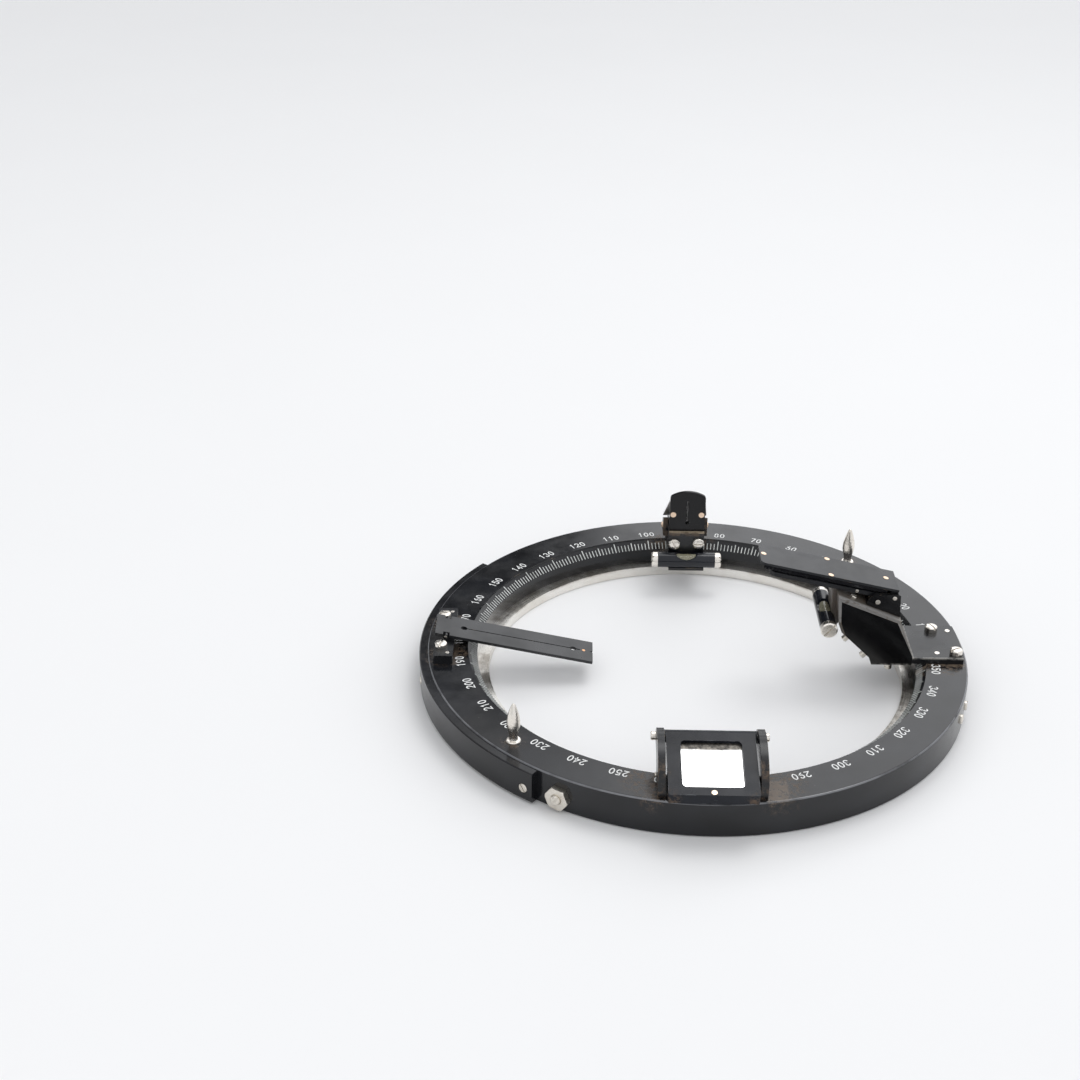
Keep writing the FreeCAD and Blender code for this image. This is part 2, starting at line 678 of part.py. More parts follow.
def level(at, along, up):
    """Level tube with a window, its vial and its two slotted caps."""
    half = level_body / 2
    tube = rod(level_r, (0, 0, -half), (0, 0, half)).cut(rod(level_bore_r, (0, 0, -half), (0, 0, half)))
    cut_x = level_cut_r + level_r - level_cut
    scallop = rod(level_cut_r, (cut_x, -9, 0), (cut_x, 9, 0))
    tube = tube.cut(scallop)
    vial_r = level_bore_r - 0.05
    vial_half = half - 1.4
    vial = turned([(0.0, -vial_half), (vial_r - 0.8, -vial_half), (vial_r, -vial_half + 0.8),
                   (vial_r, vial_half - 0.8), (vial_r - 0.8, vial_half), (0.0, vial_half)])
    caps = []
    for side in (-1, 1):
        end = V(0, 0, side * half)
        cap = rod(level_r, end, end + V(0, 0, side * level_cap))
        rims = [e for e in cap.Edges if e.Curve.TypeId == "Part::GeomCircle"
                and abs(e.Curve.Center.z) > half + 1]
        cap = cap.makeChamfer(0.6, rims)
        plug = rod(level_bore_r - 0.03, end - V(0, 0, side * 1.2), end)
        slot = box(-5, 5, -0.45, 0.45, -1.1, 1.1)
        slot.translate(V(0, 0, side * (half + level_cap)))
        slot.rotate(V(), V(0, 0, 1), 40.0)
        caps.append(cap.fuse(plug).removeSplitter().cut(slot))
    frame = FreeCAD.Placement(V(at), FreeCAD.Rotation(V(up), V(), V(along), "ZXY"))
    made = []
    for shape in (tube, vial, grouped(caps)):
        shape.Placement = frame
        made.append(shape)
    return made


far_tube, far_vial, far_caps = level((far_level_x, 0, far_level_z), (0, 1, 0), (0, 0, 1))
near_tube, near_vial, near_caps = level((0, near_level_y, near_level_z), (1, 0, 0), (0, 0, 1))
level_core = rod(level_r + 0.02, (far_level_x, -20, far_level_z), (far_level_x, 20, far_level_z))
front_top = meet(top_in, (corner_a, corner_f))
saddle = plate_xz([meet((corner_e, corner_f), flat(far_level_z - 1.5)), corner_f, front_top, corner_a,
                   (far_level_x + 2.9, corner_a[1] + 0.2),
                   (far_level_x + 2.6, corner_a[1] + 0.5, far_level_x + 2.1, corner_a[1] + 0.1),
                   (far_level_x + 1.7, corner_a[1] - 2.0), (far_level_x + 2.1, far_level_z + 8.0),
                   (far_level_x + 2.3, far_level_z + 2.0), (far_level_x + 3.1, far_level_z),
                   (far_level_x + 4.9, far_level_z - 4.0)], -6.5, 6.5).cut(level_core)
solids = sorted(saddle.Solids, key=lambda s: s.Volume)
far_saddle = solids[-1]

# Prism sight
foot_edge = math.sqrt(foot_y ** 2 - sight_half_w ** 2)
face_y = slit_y + slit_t
block_y = face_y + block_w
prism_foot = plate_xy([(-sight_half_w, face_y), (sight_half_w, face_y), (sight_half_w, foot_edge),
                       (0.0, foot_y, -sight_half_w, foot_edge)], ring_h, ring_h + foot_t)
prism_block = box(-sight_half_w, sight_half_w, face_y, block_y, ring_h, block_top)
prism_bracket = fused([prism_foot, prism_block])
prism_bracket = prism_bracket.cut([box(-5.0, 5.0, face_y + 2.1, block_y - 2.0, ring_h - 1, block_top + 1)])
prism_screws = Screws(3.0, 2.3, 0.8, 1.5, foot_t + 2.9)
for x, turn in ((-5.4, 15.0), (5.4, 100.0)):
    prism_screws.add((x, foot_y - 9.5, ring_h + foot_t), (0, 0, 1), turn)
glass_prism = plate_yz([(face_y, block_top), (face_y + prism_leg, block_top),
                        (face_y, block_top + prism_leg)], -prism_half_w, prism_half_w)
slope = V(0, 1, 1).normalize()
along = V(0, 1, -1).normalize()
low_edge = V(0, face_y + prism_leg, block_top) + along * clip_lap
high_edge = V(0, face_y, block_top + prism_leg)
back_plate = Part.Face(Part.makePolygon([
    low_edge + V(-cheek_in - cheek_t, 0, 0),
    low_edge + V(cheek_in + cheek_t, 0, 0),
    high_edge + V(sight_half_w, 0, 0),
    high_edge + V(-sight_half_w, 0, 0),
    low_edge + V(-cheek_in - cheek_t, 0, 0)])).extrude(slope * clip_t)
cheek = plate_yz(pluses((31.4, 7.4), (24.4, 7.4), (23.0, 9.4, 22.6, 11.6), (23.1, 14.2),
                        (31.4, 18.2)), cheek_in, cheek_in + cheek_t)
cheeks = both_sides(cheek, V(1, 0, 0))
cheek_screws = Screws(1.5, 1.0, 0.6, 0.8, cheek_t + 2.7)
for side in (-1, 1):
    cheek_screws.add((side * (cheek_in + cheek_t),) + plus(27.2, 12.0), (side, 0, 0), 40.0)
slit_plate = plate_xz([(-sight_half_w, ring_h + 4.0), (sight_half_w, ring_h + 4.0),
                       (sight_half_w, ring_h + 34.4),
                       (sight_half_w - 0.2, ring_h + 35.6, sight_half_w - 1.1, ring_h + 36.5),
                       (0.0, ring_h + slit_top, -sight_half_w + 1.1, ring_h + 36.5),
                       (-sight_half_w + 0.2, ring_h + 35.6, -sight_half_w, ring_h + 34.4)], slit_y, face_y)
pin_z = ring_h + 25.3
slit_pins = [rod(1.5, (x, slit_y - 0.12, pin_z), (x, face_y - 0.3, pin_z)) for x in (-7.4, 7.4)]
pin_pits = [rod(1.52, (x, slit_y - 1, pin_z), (x, face_y - 0.28, pin_z)) for x in (-7.4, 7.4)]
shelf_t = 1.5
shelf_low = near_level_z - level_r - 1.1
level_bracket = fused([
    box(-sight_half_w, sight_half_w, slit_y - 2.0, slit_y, shelf_low, block_top - 0.3),
    box(-sight_half_w, sight_half_w, near_level_y - 2.4, slit_y, shelf_low, shelf_low + shelf_t)])
level_bracket = level_bracket.cut(rod(level_r + 0.03, (-20, near_level_y, near_level_z),
                                      (20, near_level_y, near_level_z)))
level_screws = Screws(3.0, 2.2, 0.8, 1.6, 7.6)
for x, up, turn in ((-6.3, 9.3, 110.0), (6.3, 9.9, 0.0)):
    level_screws.add((x, slit_y - 2.0, ring_h + up), (0, -1, 0), turn)
slit_plate = slit_plate.cut([box(-0.45, 0.45, slit_y - 1, face_y + 1, ring_h + 21.0, ring_h + 33.2),
                             rod(1.1, (0, slit_y - 1, ring_h + 20.8), (0, face_y + 1, ring_h + 20.8))]
                            + pin_pits + level_screws.holes)
prism_bracket = prism_bracket.cut(prism_screws.holes + cheek_screws.holes + level_screws.holes)

# Concave mirror: bracket, pivot screws and tilting frame
half_mirror = mirror_w / 2
ear_x0 = half_mirror + ear_gap
ear_x1 = ear_x0 + ear_plate_t
mirror_ear = plate_yz(minuses(
    (4.5, 0.0), (4.5, 7.0), (7.2, 11.6), (7.6, 12.3, 8.4, 12.9),
    (15.0, 16.6, 23.0, 18.4), (26.6, 18.5, 29.4, 17.4),
    (34.2, 14.6, 34.8, 11.2), (33.6, 9.2, 31.4, 9.0),
    (22.6, 6.2, 18.0, 0.0)), ear_x0, ear_x1)
mirror_foot_y = 4.5 - ring_r
mirror_base = box(-ear_x1, ear_x1, mirror_foot_y, mirror_foot_y + 13.5, ring_h, ring_h + 1.3)
base_screws = Screws(2.4, 0.9, 0.1, 1.4, 4.0)
base_pits = []
base_screw_y = mirror_foot_y + 6.9
for x in (-12.0, 12.0):
    base_screws.add((x, base_screw_y, ring_h + 0.35), (0, 0, 1), 30.0)
    base_pits.append(rod(2.5, (x, base_screw_y, ring_h + 0.35), (x, base_screw_y, ring_h + 3)))
mirror_bracket = fused(both_sides(mirror_ear, V(1, 0, 0)) + [mirror_base])
pivots = Screws(1.9, 2.3, 0.3, pivot_r, ear_x1 - 14.5)
for side in (-1, 1):
    pivots.add((side * ear_x1, mirror_y, mirror_z), (side, 0, 0), 50.0)
ear_screws = Screws(1.1, 0.8, 0.3, 0.7, 2.4)
for side in (-1, 1):
    ear_screws.add((side * ear_x1,) + minus(17.4, 2.4), (side, 0, 0), 20.0)
mirror_bracket = mirror_bracket.cut(pivots.holes + ear_screws.holes + base_screws.holes + base_pits)
u0, u1, x1 = mirror_window_from, mirror_len - mirror_rim, half_mirror - mirror_border
frame = mirror_slab(0.0, mirror_len, -mirror_t / 2, mirror_t / 2, -half_mirror, half_mirror)
corners = [e for e in frame.Edges
           if abs(e.tangentAt(e.FirstParameter).dot(mirror_v)) > 0.9
           and (e.CenterOfMass - mirror_at).dot(mirror_u) > mirror_len - 1]
frame = frame.makeFillet(0.8, corners)
spine_half = ear_x0 - 0.15
spine = rod(mirror_t / 2, mirror_at - V(spine_half, 0, 0), mirror_at + V(spine_half, 0, 0))
opening = mirror_slab(u0, u1, 0.0, 4.0, -x1, x1)
rounds = [e for e in opening.Edges if abs(e.tangentAt(e.FirstParameter).dot(mirror_v)) > 0.9]
opening = opening.makeFillet(2.0, rounds)
glass_top = mirror_t / 2 - mirror_recess
cover_top = glass_top - mirror_glass_t
pocket = mirror_slab(u0 - 1.0, u1 + 1.0, cover_top - mirror_cover_t, glass_top, -x1 - 1.0, x1 + 1.0)
frame = fused([frame, spine])
through = rod(pivot_r + hinge_gap, mirror_at - V(ear_x0, 0, 0), mirror_at + V(ear_x0, 0, 0))
core = rod(3.0, mirror_at - V(14.3, 0, 0), mirror_at + V(14.3, 0, 0))
dot = mirror_at + mirror_u * (mirror_len - 1.5)
frame_pin = rod(1.25, dot + mirror_v * (mirror_t / 2 - 1.5), dot + mirror_v * (mirror_t / 2 + 0.12))
pin_pit = rod(1.27, dot + mirror_v * (mirror_t / 2 - 1.5), dot + mirror_v * 5)
mirror_frame = frame.cut([opening, pocket, through.cut(core), pin_pit])
glass_half = x1 + 0.95
mirror_glass = mirror_slab(u0 - 0.95, u1 + 0.95, cover_top, glass_top, -glass_half, glass_half)
trough_at = mirror_at + mirror_u * (u0 + u1) * 0.5 + mirror_v * (glass_top + mirror_curve_r - 0.6)
trough = rod(mirror_curve_r, trough_at - V(20, 0, 0), trough_at + V(20, 0, 0))
mirror_glass = mirror_glass.cut(trough)
mirror_back = mirror_slab(u0 - 0.95, u1 + 0.95, cover_top - mirror_cover_t, cover_top, -glass_half, glass_half)

# Ring body and seat band
corner_cut = 1.5
rim_in = ring_r - rim_t
channel = ring_h - top_t
ring_body = turned([
    (wall_r, flange_h), (wall_out, flange_h), (wall_out, channel - corner_cut),
    (wall_out + corner_cut, channel), (rim_in - corner_cut, channel), (rim_in, channel - corner_cut),
    (rim_in, 0.0), (ring_r - foot_bevel, 0.0), (ring_r, foot_bevel), (ring_r, ring_h - edge_round),
    (ring_r - edge_round * 0.13, ring_h - edge_round * 0.5),
    (ring_r - edge_round * 0.5, ring_h - edge_round * 0.13), (ring_r - edge_round, ring_h),
    (bevel_r, ring_h), (bevel_r, bevel_top), (wall_r, bevel_low)])
ring_body = ring_body.cut(
    weight_screws.holes + centring_holes + nut_seats + wall_screws.holes + wall_pits + lug_holes
    + peep_screws.holes + dowel_holes + far_screws.holes + far_dowel_holes
    + prism_screws.holes + base_screws.holes)
seat_ring = turned([(seat_r, 0.0), (wall_out, 0.0), (wall_out, flange_h), (wall_r, flange_h),
                    (wall_r, seat_h), (seat_r, seat_h)])

nodes["ring_body"] = ring_body
nodes["seat_ring"] = seat_ring
nodes["counterweight"] = strip.cut(head_pits + weight_screws.holes)
nodes["outer_wall_screws"] = grouped(weight_screws.placed + wall_screws.placed)
nodes["centring_screws"] = grouped(centring_screws)
nodes["lock_nuts"] = grouped(nuts)
nodes["finger_lug_far"] = lugs["far"]
nodes["finger_lug_near"] = lugs["near"]
nodes["peep_base"] = peep_base
nodes["peep_base_screws"] = grouped(peep_screws.placed)
nodes["base_dowels"] = grouped(peep_dowels + far_dowels)
nodes["peep_hinge_pin"] = peep_pin
nodes["peep_vane"] = peep_vane
nodes["peep_vane_dot"] = peep_dot
nodes["far_base_plate"] = far_base.cut(far_screws.holes + far_dowel_holes + floor_screws.holes)
nodes["far_base_screws"] = grouped(far_screws.placed)
nodes["housing_side_far"] = side_plates[0]
nodes["housing_side_near"] = side_plates[1]
nodes["housing_top_plate"] = top_plate.cut(housing_screws.holes + bracket_screws.holes)
nodes["housing_front_plate"] = front_plate
nodes["housing_rear_plate"] = rear_plate
nodes["housing_floor_plate"] = floor_plate.cut(floor_screws.holes)
nodes["card_mirror_tray"] = tray.cut(card_screws.holes)
nodes["card_mirror"] = card_mirror
nodes["card_mirror_screws"] = grouped(card_screws.placed)
nodes["housing_screws"] = grouped(housing_screws.placed + floor_screws.placed)
nodes["vane_bracket"] = vane_bracket
nodes["vane_bracket_screws"] = grouped(bracket_screws.placed)
nodes["vane_pivot_pin"] = vane_pin
nodes["vane_rest_pin"] = rest_pin
nodes["vane_frame"] = vane_frame
nodes["sight_wire"] = wire
nodes["wire_clamps"] = grouped(clamps.placed + side_pins)
nodes["reflector_back"] = reflector_back
nodes["reflector_glass"] = reflector_glass
nodes["reflector_pins"] = grouped(back_pins)
nodes["far_level_saddle"] = far_saddle
nodes["far_level_tube"] = far_tube
nodes["far_level_vial"] = far_vial
nodes["far_level_caps"] = far_caps
nodes["prism_bracket"] = prism_bracket
nodes["prism_bracket_screws"] = grouped(prism_screws.placed)
nodes["prism_glass"] = glass_prism
nodes["prism_back_plate"] = back_plate
nodes["prism_cheeks"] = grouped([c.cut(cheek_screws.holes) for c in cheeks])
nodes["prism_cheek_screws"] = grouped(cheek_screws.placed)
nodes["slit_plate"] = slit_plate
nodes["slit_plate_pins"] = grouped(slit_pins)
nodes["prism_level_bracket"] = level_bracket.cut(level_screws.holes)
nodes["prism_level_screws"] = grouped(level_screws.placed)
nodes["prism_level_tube"] = near_tube
nodes["prism_level_vial"] = near_vial
nodes["prism_level_caps"] = near_caps
nodes["mirror_bracket"] = mirror_bracket
nodes["mirror_bracket_screws"] = grouped(base_screws.placed + ear_screws.placed)
nodes["mirror_pivot_screws"] = grouped(pivots.placed)
nodes["mirror_frame"] = mirror_frame
nodes["concave_mirror"] = mirror_glass
nodes["mirror_back"] = mirror_back
nodes["mirror_frame_pin"] = frame_pin

for name in nodes:
    nodes[name].exportStep("parts/" + name + ".step")
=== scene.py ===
"""Azimuth circle: finishes, dial marks, stage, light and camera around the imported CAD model."""
import math

import bmesh
import bpy
from mathutils import Matrix, Vector


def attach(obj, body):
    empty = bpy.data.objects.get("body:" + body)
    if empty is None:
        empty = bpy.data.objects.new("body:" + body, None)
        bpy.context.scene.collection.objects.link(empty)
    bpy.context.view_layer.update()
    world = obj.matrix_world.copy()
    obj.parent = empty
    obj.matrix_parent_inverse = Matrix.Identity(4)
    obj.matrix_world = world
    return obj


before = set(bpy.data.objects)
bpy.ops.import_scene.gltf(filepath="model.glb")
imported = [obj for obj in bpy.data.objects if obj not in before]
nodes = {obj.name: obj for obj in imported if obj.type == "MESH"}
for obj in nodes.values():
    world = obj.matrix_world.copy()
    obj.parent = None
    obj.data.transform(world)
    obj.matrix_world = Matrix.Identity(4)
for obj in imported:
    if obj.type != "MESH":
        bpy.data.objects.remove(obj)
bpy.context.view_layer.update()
MM = 0.001

# Colours of lacquer, wear and dirt, and of painted highlights, linear
BLACK = (0.0055, 0.0058, 0.007)
BLUE_BLACK = (0.011, 0.012, 0.015)
DEEP_BLACK = (0.003, 0.003, 0.0036)
SOFT_BLACK = (0.007, 0.007, 0.008)
STAIN_BROWN = (0.12, 0.082, 0.054)
BARE_BRASS = (0.34, 0.25, 0.16)
# Grey of worn paint; on the housing's side plates it is a painted highlight line
WORN_AND_HIGHLIGHT_GREY = (0.30, 0.29, 0.27)
# Painted highlight: pale grey for thin light lines along the mirror frame's edges
EDGE_HIGHLIGHT_GREY = (0.27, 0.285, 0.31)
# Painted highlight: light grey of the line along the ring's rounded top outer edge
RIM_HIGHLIGHT_GREY = (0.24, 0.245, 0.26)
LINT = (0.42, 0.42, 0.4)
DUST = (0.17, 0.13, 0.095)
EARTH = (0.09, 0.065, 0.045)
SILVER = (0.93, 0.93, 0.92)


# Shader helpers

def rgba(value):
    """Adds alpha to a plain colour; a socket passes through."""
    if isinstance(value, (tuple, list)) and len(value) == 3:
        return (value[0], value[1], value[2], 1.0)
    return value


class Shader:
    """A material's node tree, with short calls for the nodes used here."""

    def __init__(self, name):
        self.mat = bpy.data.materials.new(name)
        self.mat.use_nodes = True
        self.tree = self.mat.node_tree
        self.tree.nodes.clear()
        self.out = self.add("ShaderNodeOutputMaterial")
        self.bsdf = self.add("ShaderNodeBsdfPrincipled")
        self.link(self.bsdf.outputs[0], self.out.inputs["Surface"])
        self.where = self.add("ShaderNodeTexCoord").outputs["Object"]

    def add(self, kind, **values):
        node = self.tree.nodes.new(kind)
        for key, value in values.items():
            setattr(node, key, value)
        return node

    def link(self, a, b):
        self.tree.links.new(a, b)

    def put(self, socket, value):
        if isinstance(value, bpy.types.NodeSocket):
            self.link(value, socket)
        elif value is not None:
            socket.default_value = value

    def set(self, **values):
        for key, value in values.items():
            self.put(self.bsdf.inputs[key.replace("_", " ")], value)
        return self

    def math(self, op, a, b=None):
        node = self.add("ShaderNodeMath", operation=op)
        for socket, value in zip(node.inputs, (a, b)):
            self.put(socket, value)
        return node.outputs[0]

    def vec(self, op, a, b):
        """Dot product or distance of two vectors."""
        node = self.add("ShaderNodeVectorMath", operation=op)
        self.put(node.inputs[0], a)
        self.put(node.inputs[1], b)
        return node.outputs["Value"]

    def split(self):
        """Place on the object as x, y and z."""
        node = self.add("ShaderNodeSeparateXYZ")
        self.link(self.where, node.inputs[0])
        return node.outputs

    def noise(self, scale, detail=3.0, rough=0.5, source=None):
        node = self.add("ShaderNodeTexNoise")
        self.put(node.inputs["Vector"], source or self.where)
        node.inputs["Scale"].default_value = scale
        node.inputs["Detail"].default_value = detail
        node.inputs["Roughness"].default_value = rough
        return node.outputs["Fac"]

    def ramp(self, value, low, high, to_low=0.0, to_high=1.0):
        """Smooth step from to_low at low to to_high at high."""
        node = self.add("ShaderNodeMapRange", interpolation_type="SMOOTHSTEP")
        for socket, item in zip(node.inputs[:5], (value, low, high, to_low, to_high)):
            self.put(socket, item)
        return node.outputs[0]

    def mix(self, factor, a, b):
        node = self.add("ShaderNodeMix", data_type="RGBA")
        self.put(node.inputs[0], factor)
        self.put(node.inputs[6], rgba(a))
        self.put(node.inputs[7], rgba(b))
        return node.outputs[2]

    def bump(self, height, strength, distance, normal=None):
        node = self.add("ShaderNodeBump")
        node.inputs["Strength"].default_value = strength
        node.inputs["Distance"].default_value = distance
        self.put(node.inputs["Height"], height)
        self.put(node.inputs["Normal"], normal)
        return node.outputs[0]

    def inside(self, box, soft):
        """1 inside a box in millimetres, 0 outside, with soft sides."""
        mask = None
        for place, limits in zip(self.split(), box):
            for value, way in zip(limits, (1, -1)):
                step = self.ramp(place, (value - way * soft) * MM, (value + way * soft) * MM)
                mask = step if mask is None else self.math("MULTIPLY", mask, step)
        return mask

    def rounded(self, radius, samples):
        """Normal as if every edge had this radius."""
        bevel = self.add("ShaderNodeBevel", samples=samples)
        bevel.inputs["Radius"].default_value = radius
        return bevel.outputs[0]

    def edges(self, radius, low=0.02, high=0.2):
        """1 on convex and concave edges, 0 on open faces."""
        flat = self.add("ShaderNodeNewGeometry").outputs["Normal"]
        agree = self.vec("DOT_PRODUCT", self.rounded(radius, 6), flat)
        return self.ramp(self.math("SUBTRACT", 1.0, agree), low, high)

    def specks(self, scale, size, amount):
        """Small scattered dots, such as dust."""
        node = self.add("ShaderNodeTexVoronoi")
        self.put(node.inputs["Vector"], self.where)
        node.inputs["Scale"].default_value = scale
        dot = self.ramp(node.outputs["Distance"], size, size * 0.5)
        pick = self.add("ShaderNodeSeparateColor")
        self.link(node.outputs["Color"], pick.inputs[0])
        keep = self.math("LESS_THAN", pick.outputs[0], amount)
        return self.math("MULTIPLY", dot, keep)

    def ring_coords(self):
        """Radius, angle and height of a point on the ring."""
        x, y, z = self.split()
        squares = self.math("ADD", self.math("MULTIPLY", x, x), self.math("MULTIPLY", y, y))
        return self.math("SQRT", squares), self.math("ARCTAN2", y, x), z


# Materials

def stain_mask(s, stains):
    """Ragged round stains, each as x, y, z and reach in millimetres."""
    mask = None
    for x, y, z, reach in stains:
        away = s.vec("DISTANCE", s.where, (x * MM, y * MM, z * MM))
        near = s.ramp(away, reach * MM, reach * 0.25 * MM)
        mask = near if mask is None else s.math("MAXIMUM", mask, near)
    return s.math("MULTIPLY", mask, s.ramp(s.noise(420.0, 5.0, 0.7), 0.43, 0.66))


def rim_line(s, radius_from, z_from):
    """Painted highlight: a broken bright line where the ring's top meets its wall, in place of an overhead
    light's reflection on the rounded edge.
    """
    radius, _, z = s.ring_coords()
    line = s.math("MULTIPLY", s.ramp(radius, (radius_from - 0.25) * MM, radius_from * MM),
                  s.ramp(z, z_from * MM, (z_from + 0.2) * MM))
    return s.math("MULTIPLY", line, s.ramp(s.noise(55.0, 4.0, 0.6), 0.3, 0.55, 0.1, 0.7))


def lacquer(name, dark=BLACK, light=BLUE_BLACK, rough=0.26, wear=0.5, dust=0.5, stains=(), patches=(),
            edge=BARE_BRASS, rim=None, shine=0.45):
    """Black lacquer on brass: mottled sheen, dust, rubbed edges, brown stains and worn patches, with painted
    light where asked: a pale edge colour paints highlights along the edges, some patches paint a highlight line
    or a lit strip, and rim paints a highlight line on the ring's top outer edge.

    A patch is its box and softness in millimetres, its colour and how much of the box it covers.
    """
    s = Shader(name)
    colour = s.mix(s.ramp(s.noise(38.0, 4.0, 0.6), 0.35, 0.7), dark, light)
    matt = None
    if stains:
        matt = stain_mask(s, stains)
        colour = s.mix(s.math("MULTIPLY", matt, 0.85), colour, STAIN_BROWN)
    for box, soft, tone, cover in patches:
        grain = s.ramp(s.noise(330.0, 5.0, 0.68), 0.72 - 0.5 * cover, 0.86 - 0.5 * cover)
        mask = s.math("MULTIPLY", s.inside(box, soft), grain)
        colour = s.mix(s.math("MULTIPLY", mask, 0.9), colour, tone)
        matt = mask if matt is None else s.math("MAXIMUM", matt, mask)
    # Edges take the edge colour: bare brass is wear, while the pale grey given to the mirror frame is a painted
    # edge highlight
    broken = s.ramp(s.noise(160.0, 4.0, 0.65), 0.66 - 0.28 * wear, 0.76 - 0.2 * wear)
    edge_rub_and_highlight = s.math("MULTIPLY", s.edges(0.35 * MM), broken)
    colour = s.mix(s.math("MULTIPLY", edge_rub_and_highlight, 0.75), colour, edge)
    grit = s.math("MAXIMUM", s.specks(520.0, 0.08, 0.03 * dust), s.specks(230.0, 0.035, 0.04 * dust))
    colour = s.mix(s.math("MULTIPLY", grit, 0.5), colour, LINT)
    # Painted highlight: a light, half-metallic line along the ring's top outer edge, where an overhead light
    # would reflect
    if rim:
        line = rim_line(s, *rim)
        colour = s.mix(line, colour, RIM_HIGHLIGHT_GREY)
        s.set(Metallic=s.math("MULTIPLY", line, 0.5))
    sheen = s.ramp(s.noise(60.0, 4.0, 0.65), 0.3, 0.75, rough - 0.04, rough + 0.08)
    if matt is not None:
        sheen = s.math("ADD", sheen, s.math("MULTIPLY", matt, 0.3))
    s.set(Base_Color=colour, Specular_IOR_Level=shine, Roughness=sheen)
    s.set(Normal=s.bump(s.noise(700.0, 3.0, 0.55), 0.07, 0.05 * MM))
    return s.mat


def metal(name, base, tint, rough, tarnish=0.3, grime=0.5, crown=0.0):
    """Worn plate with soft tarnish and dirt in its corners; crown rounds small turned heads."""
    s = Shader(name)
    blot = s.ramp(s.noise(110.0, 3.0, 0.55), 0.45, 0.75)
    colour = s.mix(s.math("MULTIPLY", blot, tarnish), base, tint)
    corner = s.math("MULTIPLY", s.edges(0.25 * MM, 0.08, 0.45), s.ramp(s.noise(240.0, 3.0), 0.42, 0.62))
    colour = s.mix(s.math("MULTIPLY", corner, grime), colour, tuple(c * 0.3 for c in tint))
    soft = s.noise(170.0, 3.0, 0.5)
    s.set(Base_Color=colour, Metallic=1.0, Roughness=s.ramp(soft, 0.3, 0.7, rough - 0.04, rough + 0.07))
    s.set(Normal=s.bump(soft, 0.05, 0.02 * MM, s.rounded(crown * MM, 8) if crown else None))
    return s.mat


def band_metal():
    """Turned nickel band: fine rings, warm tarnish and a browner upper edge."""
    s = Shader("nickel_band")
    radius, angle, z = s.ring_coords()
    joined = s.add("ShaderNodeCombineXYZ")
    for socket, place, scale in zip(joined.inputs, (angle, radius, z), (5.0, 5200.0, 5200.0)):
        s.put(socket, s.math("MULTIPLY", place, scale))
    streak = s.noise(1.0, 4.0, 0.65, joined.outputs[0])
    blot = s.ramp(s.noise(26.0, 5.0, 0.68), 0.4, 0.75)
    colour = s.mix(s.math("MULTIPLY", blot, 0.5), (0.88, 0.86, 0.82), (0.68, 0.63, 0.55))
    spots = s.ramp(s.noise(210.0, 4.0, 0.7), 0.68, 0.78)
    colour = s.mix(s.math("MULTIPLY", spots, 0.45), colour, (0.28, 0.22, 0.16))
    lip = s.math("MULTIPLY", s.ramp(z, 3.6 * MM, 5.0 * MM), s.ramp(s.noise(90.0, 4.0, 0.7), 0.4, 0.65))
    colour = s.mix(s.math("MULTIPLY", lip, 0.6), colour, (0.20, 0.16, 0.12))
    s.set(Base_Color=colour, Metallic=1.0, Roughness=s.ramp(streak, 0.3, 0.7, 0.24, 0.42))
    s.set(Normal=s.bump(streak, 0.16, 0.03 * MM))
    return s.mat


def mark_paint(name, scale, low, high, share, clean, dirty):
    """Pale paint rubbed into engraved marks, dirty in places."""
    s = Shader(name)
    dirt = s.ramp(s.noise(scale, 4.0, 0.7), low, high)
    s.set(Base_Color=s.mix(s.math("MULTIPLY", dirt, share), clean, dirty))
    s.set(Roughness=s.ramp(dirt, 0.0, 1.0, 0.5, 0.7))
    return s.mat


def silvered(name, dull_band=None):
    """Mirror glass, with an optional dull, dark band along one edge, given as (axis vector, from, to)."""
    s = Shader(name)
    colour = rgba(SILVER)
    rough = s.ramp(s.noise(90.0, 3.0), 0.3, 0.8, 0.012, 0.05)
    if dull_band:
        axis, start, stop = dull_band
        along = s.vec("DOT_PRODUCT", s.where, axis)
        ragged = s.math("ADD", along, s.math("MULTIPLY", s.noise(260.0, 4.0, 0.65), 1.4 * MM))
        band_mask = s.ramp(ragged, start, stop)
        patch = s.ramp(s.noise(380.0, 5.0, 0.7), 0.38, 0.62)
        tone = s.mix(patch, (0.20, 0.185, 0.165), (0.06, 0.057, 0.053))
        colour = s.mix(band_mask, SILVER, tone)
        rough = s.math("ADD", rough, s.math("MULTIPLY", band_mask, 0.4))
    s.set(Base_Color=colour, Metallic=1.0, Roughness=rough)
    return s.mat


def glass(name, tint, rough, ior=1.52, through=1.0):
    """Clear glass or liquid with faint smears."""
    s = Shader(name)
    smear = s.ramp(s.noise(120.0, 4.0, 0.6), 0.45, 0.8)
    s.set(Base_Color=s.mix(s.math("MULTIPLY", smear, 0.15), tint, tuple(c * 0.8 for c in tint)))
    s.set(Transmission_Weight=through, IOR=ior)
    s.set(Roughness=s.ramp(smear, 0.0, 1.0, rough, rough + 0.04))
    return s.mat


def dark_glass(name):
    """Nearly black glass of the reflector."""
    s = Shader(name)
    s.set(Base_Color=(0.008, 0.008, 0.01, 1.0), IOR=1.55)
    s.set(Roughness=s.ramp(s.noise(80.0), 0.3, 0.8, 0.03, 0.09))
    return s.mat


